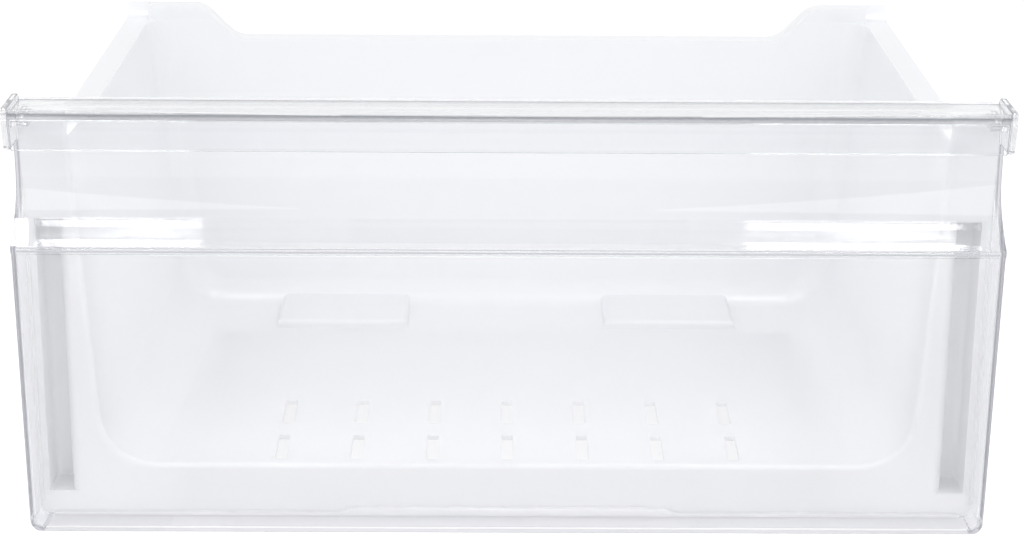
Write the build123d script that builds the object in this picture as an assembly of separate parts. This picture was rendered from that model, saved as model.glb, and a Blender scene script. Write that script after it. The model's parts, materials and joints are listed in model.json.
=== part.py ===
from build123d import *
import math
import os

# A drawer for the bottom of a fridge or freezer: a white moulded tub with a clear
# moulded front pushed on to it, and a clear handle bar with two end caps on that front.
# Millimetres. X runs along the front, -Y is the side that faces the user, +Z is up.
# While the pieces are drawn, y = 0 is the foremost line of the clear front.

# ---- clear front: overall sizes ----
panel_width = 454.0          # over its side returns, at the ledge and above
panel_draft = 0.2            # each side return leans in by this much at the floor
panel_corner_radius = 6.0    # lower corners, seen from the front
clear_wall = 2.5             # wall of every clear moulding
panel_top = 203.7            # top of the flange that covers the front of the tub
flange_depth = 44.6          # how far back that flange reaches
# ---- clear front: its profile, from the bottom up ----
base_setback = 6.6           # the lower face leans back by this much at its foot
base_edge_radius = 1.2
nose_height = 144.8          # top edge of the ledge's nose
nose_thickness = 3.2
nose_overhang = 1.2          # the nose stands this far in front of the lower face
facet_run = 5.0              # first, flatter facet of the ledge
facet_rise = 2.9
slope_angle = 40.0           # second facet of the ledge
recess_depth = 22.0          # the wall behind the handle stands this far back
recess_radius = 27.5         # sweep between the ledge and that wall
nose_radius = 1.2
# ---- handle bar and end caps ----
handle_overhang = 1.0        # each end cap stands this far beyond the clear front
handle_setback = 1.0         # the bar's front edge stands this far behind the nose
handle_depth = 30.2          # top of the bar, front to back
lip_height = 17.2            # front lip, measured down from the top of the bar
lip_lean = 3.0               # the lip leans back by this much at its lower edge
crest_rise_middle = 0.4      # the lip stands this far above the bar in the middle
crest_rise_end = 2.3         # and this far at the ends, in a long shallow arc
cap_thickness = 3.0
cap_rise = 3.4               # the caps stand this far above the bar
cap_reach = 1.0              # and this far in front of it
cap_drop = 0.4               # the caps end this far above the lip's lower edge
cap_front_radius = 2.0
cap_rear_radius = 4.0
clip_length = 8.0            # the clip that holds a cap in the end of the bar
clip_depth = 11.0
clip_thickness = 2.2
clip_setback = 8.0           # from the front of the bar
clip_gap = 2.4               # below the top of the bar
barb_height = 1.6
clip_clearance = 0.2
# ---- tub ----
tub_wall = 2.4
tub_back = 279.5             # rear edge of the tub's rear rim, behind y = 0
floor_height = 28.0          # top of the tub's floor
floor_radius = 26.0          # sweep between the floor and the side walls
back_radius = 14.0           # rear corners of the tub
back_lean = 2.0              # the back wall leans in by this much at the floor
opening_margin = 24.0        # from the side of the clear front to the tub's wall, at the rim
opening_lean = 10.0          # that wall leans in by this much at the floor
flare_length = 60.0          # the side walls flare out over this length
flare_taper = 4.2            # behind the flare each wall stands this far further in
middle_lean = 12.0           # there it leans in by this much at the floor
rear_lean = 17.0             # and by this much at the back
rim_drop = 13.2              # the rims lie this far below the top of the flange
rim_margin = 15.5            # from the side of the clear front to the rim's outer edge
rim_lip = 6.0                # the rim's turned-down outer edge
stop_rise = 7.7              # the rims sweep up to a stop at the back
stop_radius = 7.7
shoulder_margin = 30.1       # the back wall is high within this distance of each side
dip_ramp = 18.0              # then slopes down over this width
dip_depth = 18.2
dip_radius = 14.0
rear_rim_depth = 10.1        # rim along the top of the back wall, behind its outer face
# ---- front frame of the tub, where the clear front pushes on ----
push_clearance = 0.3         # all round, between the clear front and the tub
frame_thickness = 2.5
frame_inset = 1.0            # the frame's edge lies inside the clear front's edge
locating_depth = 3.6         # low rib that enters the clear front
locating_wall = 1.2
arch_half = 75.0             # the rib is raised over this half width
arch_rise = 2.3
arch_ramp = 6.0
pocket_margin = 6.9          # upright pocket beside each side wall, in from the return's foot
pocket_width = 10.6
pocket_depth = 20.0
pocket_floor = 14.0
pocket_top = 150.0
pocket_radius = 3.0
mouth_radius = 5.0           # round between the tub's side wall and its pocket
# ---- floor details and foot of the tub ----
slot_width = 5.3
slot_length = 29.0
slot_pitch = 36.6
slots_in_row = 7
front_slots = 32.5           # front end of the front row of slots
rear_slots = 78.5            # front end of the rear row
pad_inner = 54.6             # two raised pads at the back of the floor
pad_outer = 126.9
pad_length = 48.0
pad_rise = 4.5
pad_radius = 2.5
foot_margin = 23.8           # ring under the floor on which the tub stands, in from the walls
foot_back = 212.0
foot_wall = 2.6

overshoot = 1.0              # cutting shapes run past the faces they cut by this much

# ---- places that follow from the sizes above ----
panel_half = panel_width / 2
panel_foot_half = panel_half - panel_draft
recess_back = recess_depth + clear_wall
frame_front = recess_back + push_clearance
frame_back = frame_front + frame_thickness
flange_underside = panel_top - clear_wall
bar_top = panel_top + clear_wall
handle_half = panel_half + handle_overhang
bar_half = handle_half - cap_thickness
bar_front = handle_setback
bar_back = bar_front + handle_depth
cap_top = bar_top + cap_rise
cap_front = bar_front - cap_reach
lip_bottom = bar_top - lip_height
rim_height = panel_top - rim_drop
wall_top_y = tub_back - rear_rim_depth - tub_wall
wall_floor_y = wall_top_y - back_lean
shoulder_height = rim_height + stop_rise
dip_height = shoulder_height - dip_depth
opening_half_top = panel_half - opening_margin
opening_half_floor = opening_half_top - opening_lean
middle_half_top = opening_half_top - flare_taper
middle_half_floor = middle_half_top - middle_lean
rear_half_floor = middle_half_top - rear_lean
rim_half_width = panel_half - rim_margin
shoulder_half = middle_half_top - shoulder_margin
dip_half = shoulder_half - dip_ramp
pocket_outer = panel_foot_half - pocket_margin
pocket_inner = pocket_outer - pocket_width
foot_half_width = rear_half_floor - foot_margin
origin_depth = (min(cap_front, 0) + tub_back) / 2


def front_view(points):
    """Closed outline in the upright plane that faces the user: points are (x, z)."""
    return Plane.XZ * make_face(Polyline(*points, close=True))


def side_view(points):
    """Closed outline seen from the side: points are (y, z)."""
    return Plane.YZ * make_face(Polyline(*points, close=True))


def top_view(points):
    """Closed outline seen from above: points are (x, y)."""
    return make_face(Polyline(*points, close=True))


def through_x(face, low, high):
    """Solid that a side outline sweeps from x = low to x = high."""
    return Pos(low, 0, 0) * extrude(face, amount=high - low, dir=(1, 0, 0))


def through_y(face, low, high):
    """Solid that a front outline sweeps from y = low to y = high."""
    return Pos(0, low, 0) * extrude(face, amount=high - low, dir=(0, 1, 0))


def block(x_range, y_range, z_range):
    """Plain box between two corners."""
    size = [high - low for low, high in (x_range, y_range, z_range)]
    centre = [(high + low) / 2 for low, high in (x_range, y_range, z_range)]
    return Pos(*centre) * Box(*size)


def both_sides(solid):
    """The solid and its mirror image across the middle of the drawer."""
    return solid + mirror(solid, about=Plane.YZ)


def round_corners(face, corners, radius):
    """Round the corners of an outline that lie at the given points."""
    chosen = []
    for corner in corners:
        nearest = min(face.vertices(), key=lambda vertex: (Vector(*vertex) - Vector(*corner)).length)
        chosen.append(nearest)
    return fillet(chosen, radius)


# ---- clear front ----

def front_profile(inset):
    """Side outline of the clear front, or of the hollow behind its wall.

    The hollow lies inset behind the outer faces and runs out past the rear edges.
    """
    slope = math.radians(slope_angle)
    corner_height = nose_height + facet_rise + (recess_depth - facet_run) * math.tan(slope)
    nose_foot = nose_height - nose_thickness
    points = [
        (base_setback, 0),
        (nose_overhang, nose_foot - nose_overhang),
        (0, nose_foot),
        (0, nose_height),
        (facet_run, nose_height + facet_rise),
        (recess_depth, corner_height),
        (recess_depth, panel_top),
        (recess_back + 2 * inset, panel_top),
        (recess_back + 2 * inset, 0),
    ]
    face = side_view(points)
    face = round_corners(face, [(0, recess_depth, corner_height)], recess_radius)
    face = round_corners(face, [(0, 0, nose_foot), (0, 0, nose_height)], nose_radius)
    face = round_corners(face, [(0, base_setback, 0)], base_edge_radius)
    if inset:
        return offset(face, amount=-inset, kind=Kind.INTERSECTION)
    return face


def front_outline(inset):
    """Front outline of the clear front, with its lower corners rounded."""
    half_top = panel_half - inset
    half_foot = panel_foot_half - inset
    face = front_view([
        (-half_foot, inset),
        (half_foot, inset),
        (half_top, nose_height),
        (half_top, panel_top),
        (-half_top, panel_top),
        (-half_top, nose_height),
    ])
    corners = [(-half_foot, 0, inset), (half_foot, 0, inset)]
    return round_corners(face, corners, panel_corner_radius - inset)


def front_body(inset):
    """The clear front as one block, or the hollow inside it when inset is its wall."""
    side = through_x(front_profile(inset), -panel_half, panel_half)
    front = through_y(front_outline(inset), -overshoot, recess_back + 2 * clear_wall)
    return side & front


def make_front_panel():
    """Clear moulding: lower face, ledge, recessed wall, returns and top flange."""
    shell = front_body(0) - front_body(clear_wall)
    cap_room = both_sides(block(
        (bar_half - push_clearance, panel_half + overshoot),
        (-overshoot, recess_back + overshoot),
        (lip_bottom - push_clearance, panel_top + overshoot),
    ))
    flange = block(
        (-bar_half + push_clearance, bar_half - push_clearance),
        (recess_depth, flange_depth),
        (flange_underside, panel_top),
    )
    return shell - cap_room + flange


# ---- handle ----

def make_handle_bar():
    """Clear bar: a top that lies on the flange, and a lip whose crest rises to the ends."""
    bar_underside = bar_top - clear_wall
    face = side_view([
        (bar_front, bar_top),
        (bar_back, bar_top),
        (bar_back, bar_underside),
        (bar_front + clear_wall, bar_underside),
        (bar_front + clear_wall + lip_lean, lip_bottom),
        (bar_front + lip_lean, lip_bottom),
    ])
    bar = through_x(face, -bar_half, bar_half)
    end_top = bar_top + crest_rise_end
    crest = Plane.XZ * make_face([
        ThreePointArc((-bar_half, end_top), (0, bar_top + crest_rise_middle), (bar_half, end_top)),
        Line((bar_half, end_top), (bar_half, bar_underside)),
        Line((bar_half, bar_underside), (-bar_half, bar_underside)),
        Line((-bar_half, bar_underside), (-bar_half, end_top)),
    ])
    bar += through_y(crest, bar_front, bar_front + clear_wall)
    barb_start = bar_half - clip_length
    catch = block(
        (barb_start + clip_thickness + clip_clearance, barb_start + 2 * clip_thickness),
        (bar_front + clip_setback, bar_front + clip_setback + clip_depth),
        (bar_underside - barb_height, bar_underside),
    )
    return bar + both_sides(catch)


def make_right_cap():
    """Clear end cap: a raised cheek and the clip that enters the end of the bar."""
    cap_bottom = lip_bottom + cap_drop
    face = side_view([
        (cap_front + lip_lean, cap_bottom),
        (cap_front, bar_top - clear_wall),
        (cap_front, cap_top),
        (bar_back, cap_top),
        (bar_back, panel_top),
        (recess_depth - push_clearance, panel_top),
        (recess_depth - push_clearance, cap_bottom),
    ])
    face = round_corners(face, [(0, bar_back, cap_top)], cap_rear_radius)
    face = round_corners(face, [(0, cap_front, cap_top)], cap_front_radius)
    face = round_corners(face, [(0, cap_front + lip_lean, cap_bottom)], cap_front_radius)
    cheek = through_x(face, bar_half, handle_half)
    arm_top = bar_top - clear_wall - clip_gap
    clip_front = bar_front + clip_setback
    clip_range = (clip_front, clip_front + clip_depth)
    barb_start = bar_half - clip_length
    arm = block((barb_start, bar_half), clip_range, (arm_top - clip_thickness, arm_top))
    barb = block((barb_start, barb_start + clip_thickness), clip_range, (arm_top, arm_top + barb_height))
    return cheek + arm + barb


# ---- tub ----

def wall_section(y_low, y_high, half_low, half_high, grow):
    """Section across the tub from floor to above the rim, made larger by grow.

    It leans from y_low at the floor to y_high at the shoulders.
    """
    lean = Vector(0, y_high - y_low, shoulder_height - floor_height).normalized()
    scale = 1 / lean.Z
    top = (shoulder_height + stop_rise - floor_height) * scale
    over = (shoulder_height + stop_rise - floor_height) / (rim_height - floor_height)
    half_top = half_low + (half_high - half_low) * over
    face = make_face(Polyline(
        (-half_low - grow, -grow),
        (half_low + grow, -grow),
        (half_top + grow, top),
        (-half_top - grow, top),
        close=True,
    ))
    lower = face.vertices().sort_by(Axis.Y)[:2]
    face = fillet(lower, floor_radius + grow)
    plane = Plane(origin=(0, y_low, floor_height), x_dir=(1, 0, 0), z_dir=(0, -lean.Z, lean.Y))
    return plane * face


def basin(grow, front):
    """Block with the shape of the tub's inside, or of its outside when grow is the wall."""
    flare_end = frame_back + flare_length
    sections = [
        wall_section(front, front, opening_half_floor, opening_half_top, grow),
        wall_section(flare_end, flare_end, middle_half_floor, middle_half_top, grow),
        wall_section(wall_floor_y + grow, wall_top_y + grow, rear_half_floor, middle_half_top, grow),
    ]
    solid = loft(sections, ruled=True)
    rear = solid.faces().sort_by(Axis.Y)[-1]
    top_edge = rear.edges().sort_by(Axis.Z)[-1]
    turned = [edge for edge in rear.edges() if edge != top_edge]
    return fillet(turned, back_radius + grow)


def rim_line(drop):
    """Side line of a rim, lowered by drop: level, then swept up to the stop."""
    level = rim_height - drop
    stop = tub_back - tub_wall
    return (stop - stop_radius, level), (stop + drop, rim_height + stop_radius)


def swept_rim(drop, top):
    """Side outline of all that lies above the rim line, up to top."""
    start, end = rim_line(drop)
    front = frame_front - overshoot
    lines = [
        Line((front, start[1]), start),
        TangentArc(start, end, tangent=(1, 0)),
        Line(end, (end[0], top)),
        Line((end[0], top), (front, top)),
        Line((front, top), (front, start[1])),
    ]
    return Plane.YZ * make_face(lines)


def back_top(drop):
    """Front outline of what is cut from the back wall above its top line."""
    high = shoulder_height - drop
    low = dip_height - drop
    above = shoulder_height + 2 * stop_rise
    far = rim_half_width + overshoot
    face = front_view([
        (-far, high),
        (-shoulder_half, high),
        (-dip_half, low),
        (dip_half, low),
        (shoulder_half, high),
        (far, high),
        (far, above),
        (-far, above),
    ])
    turns = [(-shoulder_half, 0, high), (-dip_half, 0, low), (dip_half, 0, low), (shoulder_half, 0, high)]
    return round_corners(face, turns, dip_radius)


def make_rims():
    """Rims that slide on the ledges of the cabinet, before their tops are cut to shape."""
    strip = swept_rim(tub_wall, shoulder_height + 2 * stop_rise)
    allowed = side_view([
        (frame_front, floor_height),
        (tub_back, floor_height),
        (tub_back, shoulder_height),
        (frame_front, shoulder_height),
    ])
    rim = through_x(strip & allowed, middle_half_top - back_radius, rim_half_width)
    lip = block(
        (rim_half_width - tub_wall, rim_half_width),
        (frame_front, tub_back - tub_wall - stop_radius),
        (rim_height - rim_lip, rim_height),
    )
    return both_sides(rim + lip)


def make_rim_cut():
    """What is cut away above the side rims, in front of the back wall and beside it."""
    above = shoulder_height + 2 * stop_rise
    far = rim_half_width + overshoot
    inside = block((-far, far), (frame_front - overshoot, wall_top_y), (rim_height, above))
    beside = through_x(swept_rim(0, above), middle_half_top, far)
    return inside + both_sides(beside)


def make_rear_rim():
    """Rim along the top of the back wall: it follows the dip and is closed at both ends."""
    strip = back_top(tub_wall) - back_top(0)
    rim = through_y(strip, wall_top_y, tub_back) & block(
        (-middle_half_top, middle_half_top),
        (wall_top_y, tub_back),
        (floor_height, shoulder_height),
    )
    height = (rim_height - tub_wall, shoulder_height)
    corner = middle_half_top - back_radius
    front = block((corner, middle_half_top), (wall_top_y, wall_top_y + tub_wall), height)
    end = block((middle_half_top - tub_wall, middle_half_top), (wall_top_y, tub_back), height)
    return rim + both_sides(front + end)


def make_frame():
    """Upright frame round the tub's mouth, with the rib that enters the clear front."""
    plate = through_y(front_outline(frame_inset), frame_front, frame_back)
    plate -= block(
        (-panel_width, panel_width),
        (frame_front - overshoot, frame_back + overshoot),
        (flange_underside - push_clearance, panel_top + overshoot),
    )
    reach = panel_foot_half - clear_wall - push_clearance
    foot = clear_wall + push_clearance
    rib_front = frame_front - locating_depth
    strip_top = foot + locating_wall
    arch = front_view([
        (-reach + panel_corner_radius, foot),
        (reach - panel_corner_radius, foot),
        (reach - panel_corner_radius, strip_top),
        (arch_half + arch_ramp, strip_top),
        (arch_half, strip_top + arch_rise),
        (-arch_half, strip_top + arch_rise),
        (-arch_half - arch_ramp, strip_top),
        (-reach + panel_corner_radius, strip_top),
    ])
    rib = through_y(arch, rib_front, frame_front)
    upright = block(
        (reach - locating_wall, reach),
        (rib_front, frame_front),
        (panel_corner_radius + foot, nose_height - 2 * nose_thickness),
    )
    return plate + rib + both_sides(upright)


def pocket_outline(grow):
    """Plan of an upright pocket; its mouth is rounded on the side of the tub's wall."""
    rear = frame_front + pocket_depth + grow
    inner = pocket_inner - grow
    outer = pocket_outer + grow
    face = top_view([(inner, frame_front), (outer, frame_front), (outer, rear), (inner, rear)])
    if not grow:
        mouth = frame_front - overshoot
        turn = (inner, frame_front + mouth_radius)
        edge = (inner - mouth_radius, frame_front)
        face = make_face([
            TangentArc(turn, edge, tangent=(0, -1)),
            Line(edge, (edge[0], mouth)),
            Line((edge[0], mouth), (outer, mouth)),
            Line((outer, mouth), (outer, rear)),
            Line((outer, rear), (inner, rear)),
            Line((inner, rear), turn),
        ])
    return round_corners(face, [(outer, rear, 0), (inner, rear, 0)], pocket_radius + grow)


def make_pocket(grow):
    """Upright pocket in the frame, or the wall round it when grow is a wall."""
    low = pocket_floor - grow
    high = pocket_top + grow
    return Pos(0, 0, low) * extrude(pocket_outline(grow), amount=high - low)


def make_slots():
    """Two rows of drain slots through the floor."""
    slots = []
    for row_front in (front_slots, rear_slots):
        for column in range(slots_in_row):
            x = (column - (slots_in_row - 1) / 2) * slot_pitch
            slots.append(block(
                (x - slot_width / 2, x + slot_width / 2),
                (row_front, row_front + slot_length),
                (floor_height - 2 * tub_wall, floor_height + tub_wall),
            ))
    return slots


def make_pad():
    """Raised pad at the back of the floor, up to the back wall."""
    pad = block(
        (pad_inner, pad_outer),
        (wall_floor_y - pad_length, wall_top_y),
        (floor_height - tub_wall, floor_height + pad_rise),
    )
    top = pad.faces().sort_by(Axis.Z)[-1]
    return fillet(top.edges(), pad_radius)


def make_pad_hollow():
    """Hollow under a raised pad, which keeps the wall of the tub."""
    return block(
        (pad_inner + tub_wall, pad_outer - tub_wall),
        (wall_floor_y - pad_length + tub_wall, wall_floor_y - back_radius),
        (floor_height - tub_wall - overshoot, floor_height + pad_rise - tub_wall),
    )


def make_foot():
    """Ring under the floor, open to the front where it meets the frame."""
    height = floor_height - tub_wall / 2
    outer = block((-foot_half_width, foot_half_width), (frame_front, foot_back), (0, height))
    inner = block(
        (-foot_half_width + foot_wall, foot_half_width - foot_wall),
        (frame_front, foot_back - foot_wall),
        (-overshoot, height + overshoot),
    )
    return outer - inner


def make_tub():
    """White moulding: basin with rims, back wall, front frame, pockets and foot."""
    over_back = through_y(back_top(0), wall_floor_y - stop_radius, tub_back + overshoot)
    outside = basin(tub_wall, frame_front)
    inside = basin(0, frame_front - overshoot)
    tub = outside + make_rims()
    tub = tub - make_rim_cut() - over_back
    tub += make_rear_rim()
    tub += make_frame()
    tub += both_sides(make_pocket(tub_wall))
    tub += make_foot()
    tub -= inside
    tub -= both_sides(make_pocket(0))
    tub += both_sides(make_pad() & outside)
    tub -= both_sides(make_pad_hollow())
    tub -= make_slots()
    return tub


pieces = {
    "tub": make_tub(),
    "front_panel": make_front_panel(),
    "handle_bar": make_handle_bar(),
    "end_cap_right": make_right_cap(),
    "end_cap_left": mirror(make_right_cap(), about=Plane.YZ),
}

os.makedirs("parts", exist_ok=True)
for name, piece in pieces.items():
    placed = Pos(0, -origin_depth, 0) * piece
    export_step(placed, f"parts/{name}.step")
    size = placed.bounding_box().size
    print(f"{name}: {size.X:.1f} x {size.Y:.1f} x {size.Z:.1f} mm, {len(placed.solids())} solid")
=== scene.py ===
# %% [markdown]
# # A fridge drawer in clear and milky plastic
#
# The object is a drawer from the bottom of a fridge: a white, slightly see-through tub, a
# clear front that pushes on to it, and a clear pull bar with an end cap at each end. The
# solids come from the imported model, which is loaded first and is never moved. This file
# gives them rounded edges, finishes, light and a camera.

# %% Load the frame
import json
import math

import bmesh
import bpy
from mathutils import Matrix, Vector


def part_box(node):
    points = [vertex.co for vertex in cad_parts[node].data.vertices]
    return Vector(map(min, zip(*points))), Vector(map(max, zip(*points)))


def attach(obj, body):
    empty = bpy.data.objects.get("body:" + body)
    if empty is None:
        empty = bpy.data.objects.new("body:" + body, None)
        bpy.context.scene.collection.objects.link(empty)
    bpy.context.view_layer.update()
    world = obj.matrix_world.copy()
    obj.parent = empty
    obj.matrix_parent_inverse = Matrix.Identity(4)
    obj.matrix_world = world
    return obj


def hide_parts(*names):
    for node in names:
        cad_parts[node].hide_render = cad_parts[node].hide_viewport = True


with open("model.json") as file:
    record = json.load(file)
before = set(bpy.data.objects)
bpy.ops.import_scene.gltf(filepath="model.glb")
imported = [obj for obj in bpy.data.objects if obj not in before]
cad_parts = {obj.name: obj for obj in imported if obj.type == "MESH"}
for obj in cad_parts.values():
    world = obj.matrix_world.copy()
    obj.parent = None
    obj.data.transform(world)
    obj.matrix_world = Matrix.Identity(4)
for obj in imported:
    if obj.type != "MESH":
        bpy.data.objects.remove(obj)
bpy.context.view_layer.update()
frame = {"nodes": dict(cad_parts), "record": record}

MM = 0.001

# %% [markdown]
# ## Camera
#
# The photograph is a product shot from a little above the drawer. A camera was fitted to
# the drawer's straight edges: it stands about a metre in front of the clear front and looks
# down by 18.5 degrees, with a lens of about 84 mm on a 36 mm wide sensor. A long lens keeps
# the handle almost as wide as the tub behind it, as a catalogue picture does.

# %% Camera
CAMERA_PLACE = Vector((-7.4, -1178.7, 484.2)) * MM
CAMERA_PITCH = math.radians(18.55)
CAMERA_YAW = math.radians(0.48)
CAMERA_ROLL = math.radians(0.41)
SENSOR_WIDTH = 36.0
FOCAL_IN_FRAME_WIDTHS = 2.344


def make_camera():
    """Camera from a place, a yaw, a pitch and a roll.

    The view direction is the +Y axis, turned right by the yaw and down by the pitch. The
    camera's right and up axes are then turned round that direction by the roll.
    """
    forward = Vector((
        math.sin(CAMERA_YAW) * math.cos(CAMERA_PITCH),
        math.cos(CAMERA_YAW) * math.cos(CAMERA_PITCH),
        -math.sin(CAMERA_PITCH),
    ))
    level = Vector((math.cos(CAMERA_YAW), -math.sin(CAMERA_YAW), 0))
    upward = level.cross(forward)
    right = level * math.cos(CAMERA_ROLL) + upward * math.sin(CAMERA_ROLL)
    top = upward * math.cos(CAMERA_ROLL) - level * math.sin(CAMERA_ROLL)
    data = bpy.data.cameras.new("camera")
    data.sensor_width = SENSOR_WIDTH
    data.lens = FOCAL_IN_FRAME_WIDTHS * SENSOR_WIDTH
    camera = bpy.data.objects.new("camera", data)
    axes = Matrix((right, top, -forward)).transposed().to_4x4()
    camera.matrix_world = Matrix.Translation(CAMERA_PLACE) @ axes
    bpy.context.scene.collection.objects.link(camera)
    bpy.context.scene.camera = camera
    print("camera lens:", round(data.lens, 2), "mm")


make_camera()

# %% [markdown]
# ## Small helpers for node trees
#
# A material is a small graph: nodes make values, and links carry them on to the next node.
# These helpers add a node, set its inputs, link two sockets, do one sum and mix two
# shaders, so that each finish below reads as a short list.


# %% Node helpers
def add_node(tree, kind, **settings):
    """New node of a kind, with settings of the node itself, such as its operation."""
    node = tree.nodes.new(kind)
    for name, value in settings.items():
        setattr(node, name, value)
    return node


def set_inputs(node, **values):
    """Set inputs by name; an underscore stands for a space."""
    for name, value in values.items():
        node.inputs[name.replace("_", " ")].default_value = value
    return node


def join(tree, source, target):
    """Link an output socket to an input socket."""
    tree.links.new(source, target)


def add_math(tree, operation, *values):
    """Result of a Math node; each value is a socket to link or a plain number."""
    node = add_node(tree, "ShaderNodeMath", operation=operation)
    for socket, value in zip(node.inputs, values):
        if isinstance(value, float):
            socket.default_value = value
        else:
            join(tree, value, socket)
    return node.outputs[0]


def add_choice(tree, mask, first, second):
    """Mix of two shaders: the first where the mask is zero, the second where it is one."""
    mix = add_node(tree, "ShaderNodeMixShader")
    for socket, source in zip(mix.inputs, (mask, first, second)):
        join(tree, source, socket)
    return mix.outputs[0]


def new_material(name):
    """Material with an empty tree and its output node."""
    material = bpy.data.materials.new(name)
    material.use_nodes = True
    tree = material.node_tree
    tree.nodes.clear()
    output = add_node(tree, "ShaderNodeOutputMaterial")
    return material, tree, output


# %% [markdown]
# ## Studio: the world
#
# The photograph has a white sweep and soft light from all round, which the world gives. As
# a lamp it is a little brighter overhead than round the horizon, as a white room with its
# lamps above is. For the camera, for gloss and for what shows through the clear plastic it
# is plain white: Light Path tells these rays apart, so the light on the drawer can be set
# without turning the background grey.

# %% World
SKY_AT_HORIZON = 0.74
SKY_OVERHEAD = 0.96
SKY_TINT = (0.97, 0.98, 1.0, 1)
WHITE = (1, 1, 1, 1)


def add_seen(tree):
    """One for a ray of the camera, of gloss or through glass, and zero for any other."""
    path = add_node(tree, "ShaderNodeLightPath").outputs
    straight = add_math(tree, "MAXIMUM", path["Is Camera Ray"], path["Is Transmission Ray"])
    return add_math(tree, "MAXIMUM", straight, path["Is Glossy Ray"])


def make_world():
    """White for rays that see it straight, in gloss or through glass; softer as a lamp.

    As a lamp its strength runs evenly from the horizon to the point overhead, with the
    upward part of the direction.
    """
    world = bpy.data.worlds.new("studio")
    bpy.context.scene.world = world
    world.use_nodes = True
    tree = world.node_tree
    tree.nodes.clear()
    output = add_node(tree, "ShaderNodeOutputWorld")
    direction = add_node(tree, "ShaderNodeTexCoord")
    upward = add_node(tree, "ShaderNodeSeparateXYZ")
    strength = add_node(tree, "ShaderNodeMapRange")
    set_inputs(strength, To_Min=SKY_AT_HORIZON, To_Max=SKY_OVERHEAD)
    soft = set_inputs(add_node(tree, "ShaderNodeBackground"), Color=SKY_TINT)
    white = set_inputs(add_node(tree, "ShaderNodeBackground"), Color=WHITE, Strength=1.0)
    join(tree, direction.outputs["Generated"], upward.inputs[0])
    join(tree, upward.outputs["Z"], strength.inputs["Value"])
    join(tree, strength.outputs["Result"], soft.inputs["Strength"])
    surface = add_choice(tree, add_seen(tree), soft.outputs[0], white.outputs[0])
    join(tree, surface, output.inputs["Surface"])
    print(f"world as a lamp: {SKY_AT_HORIZON} at the horizon, {SKY_OVERHEAD} overhead")


bpy.context.scene.view_settings.view_transform = "Standard"
make_world()

# %% [markdown]
# ## Studio: the floor
#
# The drawer stands on one large pale sheet. It keeps the shadow and glows a little, a bit
# more for the rays that see it than as a lamp, so that it runs into the white of the world
# without a line. A curved sweep would do the same, but would show in the other views.

# %% Floor
FLOOR_SIZE = 6.0
FLOOR_COLOUR = (0.66, 0.66, 0.66, 1)
FLOOR_ROUGHNESS = 0.9
FLOOR_GLOW = 0.42
FLOOR_GLOW_SEEN = 0.52


def make_floor():
    """Pale square floor at the drawer's foot: it keeps the shadow and glows a little."""
    half = FLOOR_SIZE / 2
    corners = [(-half, -half, 0), (half, -half, 0), (half, half, 0), (-half, half, 0)]
    mesh = bpy.data.meshes.new("floor")
    mesh.from_pydata(corners, [], [(0, 1, 2, 3)])
    floor = bpy.data.objects.new("floor", mesh)
    bpy.context.scene.collection.objects.link(floor)
    material, tree, output = new_material("pale_floor")
    shader = set_inputs(
        add_node(tree, "ShaderNodeBsdfPrincipled"),
        Base_Color=FLOOR_COLOUR,
        Roughness=FLOOR_ROUGHNESS,
        Emission_Color=WHITE,
    )
    glow = add_node(tree, "ShaderNodeMapRange")
    set_inputs(glow, To_Min=FLOOR_GLOW, To_Max=FLOOR_GLOW_SEEN)
    join(tree, add_seen(tree), glow.inputs["Value"])
    join(tree, glow.outputs["Result"], shader.inputs["Emission Strength"])
    join(tree, shader.outputs[0], output.inputs["Surface"])
    mesh.materials.append(material)
    print(f"floor: {FLOOR_SIZE} m square")


make_floor()

# %% [markdown]
# ## Studio: the lamps
#
# Two long strip lights hang over the drawer: they show as two bright bars on the ledge
# under the handle, with a gap between them. The ledge slopes by 30 to 40 degrees, so it
# mirrors what hangs nearly straight overhead. The strips give no diffuse light, so they
# make these highlights and leave the shading of the white tub alone. Two soft boxes stand
# in front at the sides and are turned to the drawer. They light the front frame of the tub,
# and the sweep behind the handle mirrors them.

# %% Lamps
STRIP_SIZE = (0.225, 0.67)
STRIP_PLACES = {"strip_left": (-0.42, -0.095, 1.5), "strip_right": (0.368, -0.095, 1.5)}
STRIP_WATTS = 6.0
BOX_SIZE = (0.80, 1.80)
BOX_PLACES = {"box_left": (-0.82, -1.40, 0.95), "box_right": (0.76, -1.40, 0.95)}
BOX_WATTS = 3.4
LAMP_AIM = Vector((0, -0.12, 0.12))


def make_lamp(name, place, size, watts):
    """Rectangular lamp that hangs facing down; it is seen in gloss, not by the camera."""
    data = bpy.data.lights.new(name, "AREA")
    data.shape = "RECTANGLE"
    data.size, data.size_y = size
    data.energy = watts
    lamp = bpy.data.objects.new(name, data)
    lamp.location = place
    lamp.visible_camera = False
    bpy.context.scene.collection.objects.link(lamp)
    print(f"{name}: {size[0]} by {size[1]} m, {watts} W")
    return lamp


for name, place in STRIP_PLACES.items():
    strip = make_lamp(name, place, STRIP_SIZE, STRIP_WATTS)
    strip.visible_diffuse = False
for name, place in BOX_PLACES.items():
    box = make_lamp(name, place, BOX_SIZE, BOX_WATTS)
    box.rotation_euler = (LAMP_AIM - Vector(place)).to_track_quat("-Z", "Y").to_euler()

# %% [markdown]
# ## What moulded plastic has in common
#
# No moulding is perfectly even. Its polish is broken by faint flow waves from the way the
# melt filled the mould, and by fine rubbed marks from handling. Both are height and
# roughness that change over the surface, so one node group makes them and every plastic
# uses it with its own strengths.

# %% Moulded surface group
SURFACE_INPUTS = {
    "Roughness": 0.1,
    "Unevenness": 0.03,
    "Waves per Metre": 12.0,
    "Marks per Metre": 300.0,
}
WAVE_NOISE = {"Detail": 1.0, "Roughness": 0.4}
MARK_NOISE = {"Detail": 4.0, "Roughness": 0.6}


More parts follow.
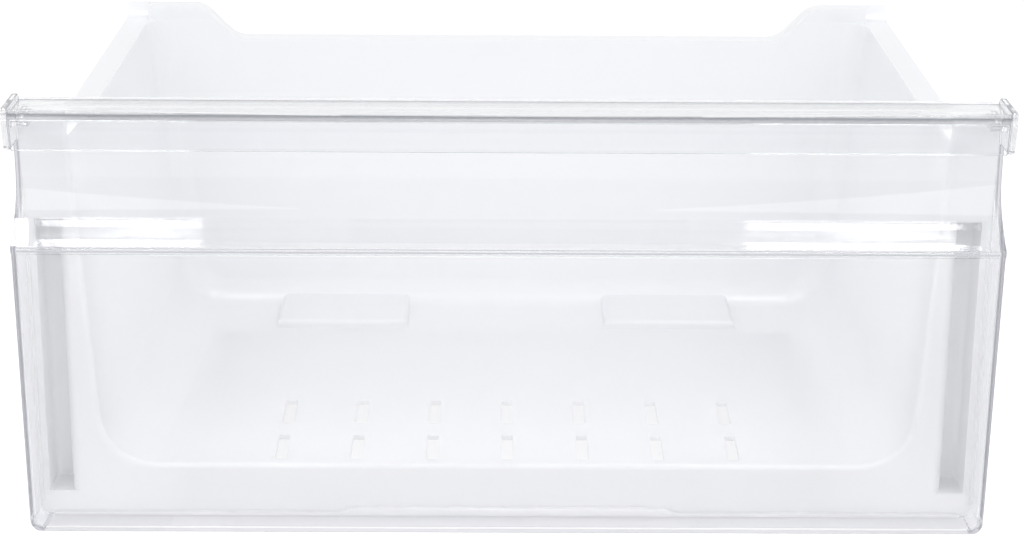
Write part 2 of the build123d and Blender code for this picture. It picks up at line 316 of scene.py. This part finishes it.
def make_moulded_group():
    """Group with the inputs of SURFACE_INPUTS and two outputs, Roughness and Height.

    The roughness is the plain one plus the unevenness times the noise of the rubbed marks.
    The height is the noise of the flow waves.
    """
    tree = bpy.data.node_groups.new("moulded_surface", "ShaderNodeTree")
    for name, default in SURFACE_INPUTS.items():
        socket = tree.interface.new_socket(
            name, in_out="INPUT", socket_type="NodeSocketFloat"
        )
        socket.default_value = default
    for name in ("Roughness", "Height"):
        tree.interface.new_socket(name, in_out="OUTPUT", socket_type="NodeSocketFloat")
    inside = add_node(tree, "NodeGroupInput").outputs
    outside = add_node(tree, "NodeGroupOutput").inputs
    place = add_node(tree, "ShaderNodeTexCoord").outputs["Object"]
    waves = set_inputs(add_node(tree, "ShaderNodeTexNoise"), **WAVE_NOISE)
    marks = set_inputs(add_node(tree, "ShaderNodeTexNoise"), **MARK_NOISE)
    for noise, scale in ((waves, "Waves per Metre"), (marks, "Marks per Metre")):
        join(tree, place, noise.inputs["Vector"])
        join(tree, inside[scale], noise.inputs["Scale"])
    spread = add_math(tree, "MULTIPLY", marks.outputs["Fac"], inside["Unevenness"])
    total = add_math(tree, "ADD", spread, inside["Roughness"])
    join(tree, total, outside["Roughness"])
    join(tree, waves.outputs["Fac"], outside["Height"])
    print("moulded surface group takes:", ", ".join(SURFACE_INPUTS))
    return tree


moulded_surface = make_moulded_group()

# %% Moulded surface in a material
BUMP_STRENGTH = 0.5


def add_moulded_surface(tree, shader, roughness, unevenness, waves, wave_height):
    """Feed a shader's roughness and normal from the shared group."""
    group = add_node(tree, "ShaderNodeGroup", node_tree=moulded_surface)
    set_inputs(group, Roughness=roughness, Unevenness=unevenness, Waves_per_Metre=waves)
    bump = add_node(tree, "ShaderNodeBump")
    set_inputs(bump, Strength=BUMP_STRENGTH, Distance=wave_height)
    join(tree, group.outputs["Roughness"], shader.inputs["Roughness"])
    join(tree, group.outputs["Height"], bump.inputs["Height"])
    join(tree, bump.outputs["Normal"], shader.inputs["Normal"])


# %% [markdown]
# ## Clear plastic: its tint and painted shade
#
# The front and the bar are clear polystyrene. It bends light like glass, but a sheet of it
# is only seen at its edges: where the eye looks along the wall, light has a long way to go
# through the plastic and comes out darker and bluer. Layer Weight gives that angle, and a
# ramp turns it into the colour. The ramp goes much darker at the edge than the plastic's
# own tint: a little of it is that tint, and most of it is painted shade for the dark edge
# lines that bent and inwardly mirrored light draws. The thick edges of the mouldings gather
# light from far along the wall, which a short render can't follow, so a few narrow bands get
# painted shade: the outer side walls and the bottom wall of the front, and the bar's rear
# edge and the top corner of its lip.

# %% Bands of painted shade at the thick edges
# Each pair is the middle and the half width of a band along one axis.
SIDE_WALL = (226.2 * MM, 1.3 * MM)
BOTTOM_WALL = (1.2 * MM, 1.3 * MM)
CREST_HEIGHT = (206.3 * MM, 0.6 * MM)
CREST_DEPTH = (-137.4 * MM, 1.6 * MM)
REAR_EDGE = (-109.1 * MM, 0.7 * MM)


def add_side_shade_bands(tree, x, y, z):
    """Mask of painted shade on the outer side walls and the bottom wall, seen edge-on."""
    side = add_math(tree, "COMPARE", add_math(tree, "ABSOLUTE", x), *SIDE_WALL)
    bottom = add_math(tree, "COMPARE", z, *BOTTOM_WALL)
    return add_math(tree, "MAXIMUM", side, bottom)


def add_bar_shade_bands(tree, x, y, z):
    """Mask of painted shade on the bar's rear edge and on the top corner of its lip."""
    high = add_math(tree, "COMPARE", z, *CREST_HEIGHT)
    front = add_math(tree, "COMPARE", y, *CREST_DEPTH)
    rear = add_math(tree, "COMPARE", y, *REAR_EDGE)
    return add_math(tree, "MAXIMUM", add_math(tree, "MULTIPLY", high, front), rear)


# %% Tint and painted shade that deepen edge-on
def add_angle_tint_and_shade(tree, face_colour, edge_tint_and_shade, edge_start):
    """Colour from the face's tint to the edge's tint and painted shade, by viewing angle.

    Layer Weight's Facing is zero on a wall that faces the eye and one on a wall seen along
    itself. The colour starts to change at edge_start.
    """
    angle = set_inputs(add_node(tree, "ShaderNodeLayerWeight"), Blend=0.5)
    ramp = add_node(tree, "ShaderNodeValToRGB")
    stops = ((edge_start, face_colour), (1.0, edge_tint_and_shade))
    for element, (position, colour) in zip(ramp.color_ramp.elements, stops):
        element.position = position
        element.color = (*colour, 1)
    join(tree, angle.outputs["Facing"], ramp.inputs["Fac"])
    return ramp.outputs["Color"]


def add_painted_edge_shade(tree, colour, add_shade_bands, painted_edge_shade):
    """Colour multiplied by a painted shade in the bands that the given mask picks out."""
    place = add_node(tree, "ShaderNodeTexCoord")
    parts = add_node(tree, "ShaderNodeSeparateXYZ")
    join(tree, place.outputs["Object"], parts.inputs[0])
    # Painted shade: the colour in the bands is multiplied by a darker tone.
    deepen = add_node(tree, "ShaderNodeMix", data_type="RGBA", blend_type="MULTIPLY")
    join(tree, add_shade_bands(tree, *parts.outputs), deepen.inputs["Factor"])
    join(tree, colour, deepen.inputs["A"])
    deepen.inputs["B"].default_value = (*painted_edge_shade, 1)
    return deepen.outputs["Result"]


# %% [markdown]
# ## Clear plastic: the ways through it
#
# Lamps have to reach the tub through the front, so the shader lets shadow rays pass as if
# it were open. Light that is mirrored again and again inside the wall would be given up as
# black. Such a ray ends instead in a painted glow, a fixed grey that stands in for the light
# of the white studio it would come out into. The rest is a plain glass shader, whose gloss
# and bending come from the real shape.

# %% Clear plastic
MOST_MIRRORED = 3.5
MOST_BOUNCES = 9.5
CLEAR_IOR = 1.50
CLEAR_UNEVENNESS = 0.03
CLEAR_WAVES = 9.0
CLEAR_WAVE_HEIGHT = 0.4 * MM
SHADOW_TINT = (0.95, 0.95, 0.96, 1)


def add_trapped(tree, path):
    """One for a ray that was mirrored, or turned in any way, too often to be followed."""
    mirrored = add_math(tree, "GREATER_THAN", path["Glossy Depth"], MOST_MIRRORED)
    turned = add_math(tree, "GREATER_THAN", path["Ray Depth"], MOST_BOUNCES)
    return add_math(tree, "MAXIMUM", mirrored, turned)


def make_clear_plastic(
    name, face_colour, edge_tint_and_shade, edge_start, roughness, add_shade_bands, painted_edge_shade, painted_glow_tone
):
    """Glass-like plastic with painted shade edge-on and at thick edges, and a painted glow.
    """
    material, tree, output = new_material(name)
    shader = set_inputs(
        add_node(tree, "ShaderNodeBsdfPrincipled"),
        Transmission_Weight=1.0,
        IOR=CLEAR_IOR,
    )
    colour = add_angle_tint_and_shade(tree, face_colour, edge_tint_and_shade, edge_start)
    colour = add_painted_edge_shade(tree, colour, add_shade_bands, painted_edge_shade)
    join(tree, colour, shader.inputs["Base Color"])
    add_moulded_surface(
        tree, shader, roughness, CLEAR_UNEVENNESS, CLEAR_WAVES, CLEAR_WAVE_HEIGHT
    )
    path = add_node(tree, "ShaderNodeLightPath").outputs
    # Painted glow: a fixed emission tone that stands in for studio light on trapped rays.
    studio = add_node(tree, "ShaderNodeEmission")
    set_inputs(studio, Color=(*painted_glow_tone, 1), Strength=1.0)
    wall = add_choice(tree, add_trapped(tree, path), shader.outputs[0], studio.outputs[0])
    open_way = set_inputs(add_node(tree, "ShaderNodeBsdfTransparent"), Color=SHADOW_TINT)
    surface = add_choice(tree, path["Is Shadow Ray"], wall, open_way.outputs[0])
    join(tree, surface, output.inputs["Surface"])
    print(f"{name}: {len(tree.nodes)} nodes")
    return material


clear_front = make_clear_plastic(
    "clear_front",
    face_colour=(0.985, 0.985, 0.99),
    # Edge colour: a little of the plastic's own tint, mostly painted shade.
    edge_tint_and_shade=(0.45, 0.46, 0.48),
    edge_start=0.78,
    roughness=0.01,
    add_shade_bands=add_side_shade_bands,
    # Tone of the painted shade in the bands at the thick edges.
    painted_edge_shade=(0.62, 0.62, 0.65),
    # Grey of the painted glow for rays trapped inside the plastic.
    painted_glow_tone=(0.62, 0.63, 0.67),
)
clear_bar = make_clear_plastic(
    "clear_bar",
    face_colour=(0.93, 0.932, 0.94),
    # Edge colour: a little of the plastic's own tint, mostly painted shade.
    edge_tint_and_shade=(0.25, 0.26, 0.28),
    edge_start=0.74,
    roughness=0.015,
    add_shade_bands=add_bar_shade_bands,
    # Tone of the painted shade in the bands at the thick edges.
    painted_edge_shade=(0.45, 0.46, 0.48),
    # Grey of the painted glow for rays trapped inside the plastic.
    painted_glow_tone=(0.30, 0.31, 0.34),
)

# %% [markdown]
# ## Milky plastic
#
# The tub is white plastic about 2.4 mm thick. Some light goes into it and comes out again
# a few millimetres away, which softens its shading: that is subsurface scattering. Plain
# white paint would be simpler, but its inner corners would turn grey and hard.

# %% Milky plastic
MILKY_COLOUR = (0.90, 0.905, 0.925, 1)
MILKY_RADIUS = 5 * MM
MILKY_IOR = 1.46
MILKY_ROUGHNESS = 0.26
MILKY_UNEVENNESS = 0.10
MILKY_WAVES = 14.0
MILKY_WAVE_HEIGHT = 0.6 * MM


def make_milky_plastic(name):
    """White plastic with a satin gloss and a little light inside it."""
    material, tree, output = new_material(name)
    shader = set_inputs(
        add_node(tree, "ShaderNodeBsdfPrincipled"),
        Base_Color=MILKY_COLOUR,
        Subsurface_Weight=1.0,
        Subsurface_Radius=(MILKY_RADIUS, MILKY_RADIUS, MILKY_RADIUS),
        Subsurface_Scale=1.0,
        IOR=MILKY_IOR,
    )
    add_moulded_surface(
        tree, shader, MILKY_ROUGHNESS, MILKY_UNEVENNESS, MILKY_WAVES, MILKY_WAVE_HEIGHT
    )
    join(tree, shader.outputs[0], output.inputs["Surface"])
    print(f"{name}: {len(tree.nodes)} nodes")
    return material


milky_tub = make_milky_plastic("milky_tub")

# %% [markdown]
# ## Rounded copies of the solids
#
# A real moulding has no sharp edge: each one is rounded by a few tenths of a millimetre,
# and in clear plastic those rounds are what draws the object. A copy of the solid has its
# doubled corners merged and its flat faces joined, and a Bevel modifier rounds what is
# left. Weighted normals keep the flat faces flat to the eye. A Subdivision modifier would
# round the edges too, but it would also bend the flat walls.
#
# Two places get more care. The edge round the mouth of the tub, where the floor and the
# side walls meet the front frame, is rounder than the rest and is marked for a bevel of its
# own. Where one clear piece lies on another, two faces in one place would let no light
# through, so a film of air, as thin as a hair, is left between them.

# %% Air films and the mouth
MERGE_DISTANCE = 0.002 * MM
FLAT_ANGLE = math.radians(0.3)
SHARP_ANGLE = math.radians(28)
RIB_DEPTH = 3.6 * MM
MOUTH_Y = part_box("tub")[0][1] + RIB_DEPTH
MOUTH_HALF = 205 * MM
MOUTH_LOW = 27 * MM
MOUTH_NEAR = 0.1 * MM


def draw_back(work, faces):
    """Move flat faces, each given as (axis, place, film), by their film of air."""
    for axis, place, film in faces:
        for corner in work.verts:
            if abs(corner.co[axis] - place) < MERGE_DISTANCE:
                corner.co[axis] += film


def mark_mouth(work):
    """Give the edge between the floor or side walls and the front frame a bevel weight."""
    weight = work.edges.layers.float.new("bevel_weight_edge")
    count = 0
    for edge in work.edges:
        ends = [corner.co for corner in edge.verts]
        on_frame = all(abs(end.y - MOUTH_Y) < MOUTH_NEAR for end in ends)
        inside = all(abs(end.x) < MOUTH_HALF and end.z > MOUTH_LOW for end in ends)
        paired = len(edge.link_faces) == 2
        if on_frame and inside and paired and edge.calc_face_angle() > SHARP_ANGLE:
            edge[weight] = 1.0
            count += 1
    print("edges round the mouth:", count)


# %% Merged mesh and its rounds
MOUTH_ROUND = (2.4 * MM, 5)


def merged_mesh(node, name, films, mouth):
    """Copy of a CAD node's mesh, its doubled corners merged and its flat faces joined."""
    mesh = frame["nodes"][node].data.copy()
    mesh.name = name
    work = bmesh.new()
    work.from_mesh(mesh)
    bmesh.ops.remove_doubles(work, verts=work.verts, dist=MERGE_DISTANCE)
    bmesh.ops.dissolve_limit(
        work, angle_limit=FLAT_ANGLE, verts=work.verts, edges=work.edges
    )
    draw_back(work, films)
    if mouth:
        mark_mouth(work)
    for face in work.faces:
        face.smooth = True
    work.to_mesh(mesh)
    work.free()
    return mesh


def add_bevel(piece, name, size, method, clamped):
    """Bevel of a size, given as (radius, segments), on the edges that the method picks."""
    bevel = piece.modifiers.new(name, "BEVEL")
    bevel.width, bevel.segments = size
    bevel.limit_method = method
    bevel.use_clamp_overlap = clamped
    return bevel


def rounded_copy(node, name, material, size, films=(), mouth=False):
    """Copy of a CAD node with rounded edges, which stands for that node."""
    mesh = merged_mesh(node, name, films, mouth)
    mesh.materials.clear()
    mesh.materials.append(material)
    piece = bpy.data.objects.new(name, mesh)
    bpy.context.scene.collection.objects.link(piece)
    if mouth:
        add_bevel(piece, "rounded_mouth", MOUTH_ROUND, "WEIGHT", clamped=False)
    edges = add_bevel(piece, "rounded_edges", size, "ANGLE", clamped=True)
    edges.angle_limit = SHARP_ANGLE
    edges.harden_normals = True
    normals = piece.modifiers.new("flat_faces", "WEIGHTED_NORMAL")
    normals.keep_sharp = True
    bodies = frame["record"]["behaviour"]["bodies"]
    body = next(moving for moving, members in bodies.items() if node in members)
    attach(piece, body)
    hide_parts(node)
    print(f"{name}: {len(mesh.polygons)} faces before rounding")


# %% [markdown]
# ## The five mouldings
#
# The tub and the front have the small rounds of large thin mouldings. The bar is thicker
# and is what a hand holds, so its edges are rounder, and those of its caps nearly so. The
# bar and the caps lie on the front's flange, and the bar's ends meet the caps.

# %% The five mouldings
TUB_ROUND = (0.5 * MM, 2)
FRONT_ROUND = (0.5 * MM, 2)
BAR_ROUND = (0.7 * MM, 3)
CAP_ROUND = (0.6 * MM, 2)
AIR_FILM = 0.08 * MM

flange_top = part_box("front_panel")[1][2]
bar_left, bar_right = (corner[0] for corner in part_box("handle_bar"))
under = (2, flange_top, AIR_FILM)
ends = ((0, bar_left, AIR_FILM), (0, bar_right, -AIR_FILM))
rounded_copy("tub", "moulded_tub", milky_tub, TUB_ROUND, mouth=True)
rounded_copy("front_panel", "clear_front_panel", clear_front, FRONT_ROUND)
rounded_copy(
    "handle_bar", "clear_pull_bar", clear_bar, BAR_ROUND,
    films=(under, *ends),
)
for side in ("left", "right"):
    rounded_copy(
        f"end_cap_{side}", f"clear_cap_{side}", clear_bar, CAP_ROUND,
        films=(under,),
    )
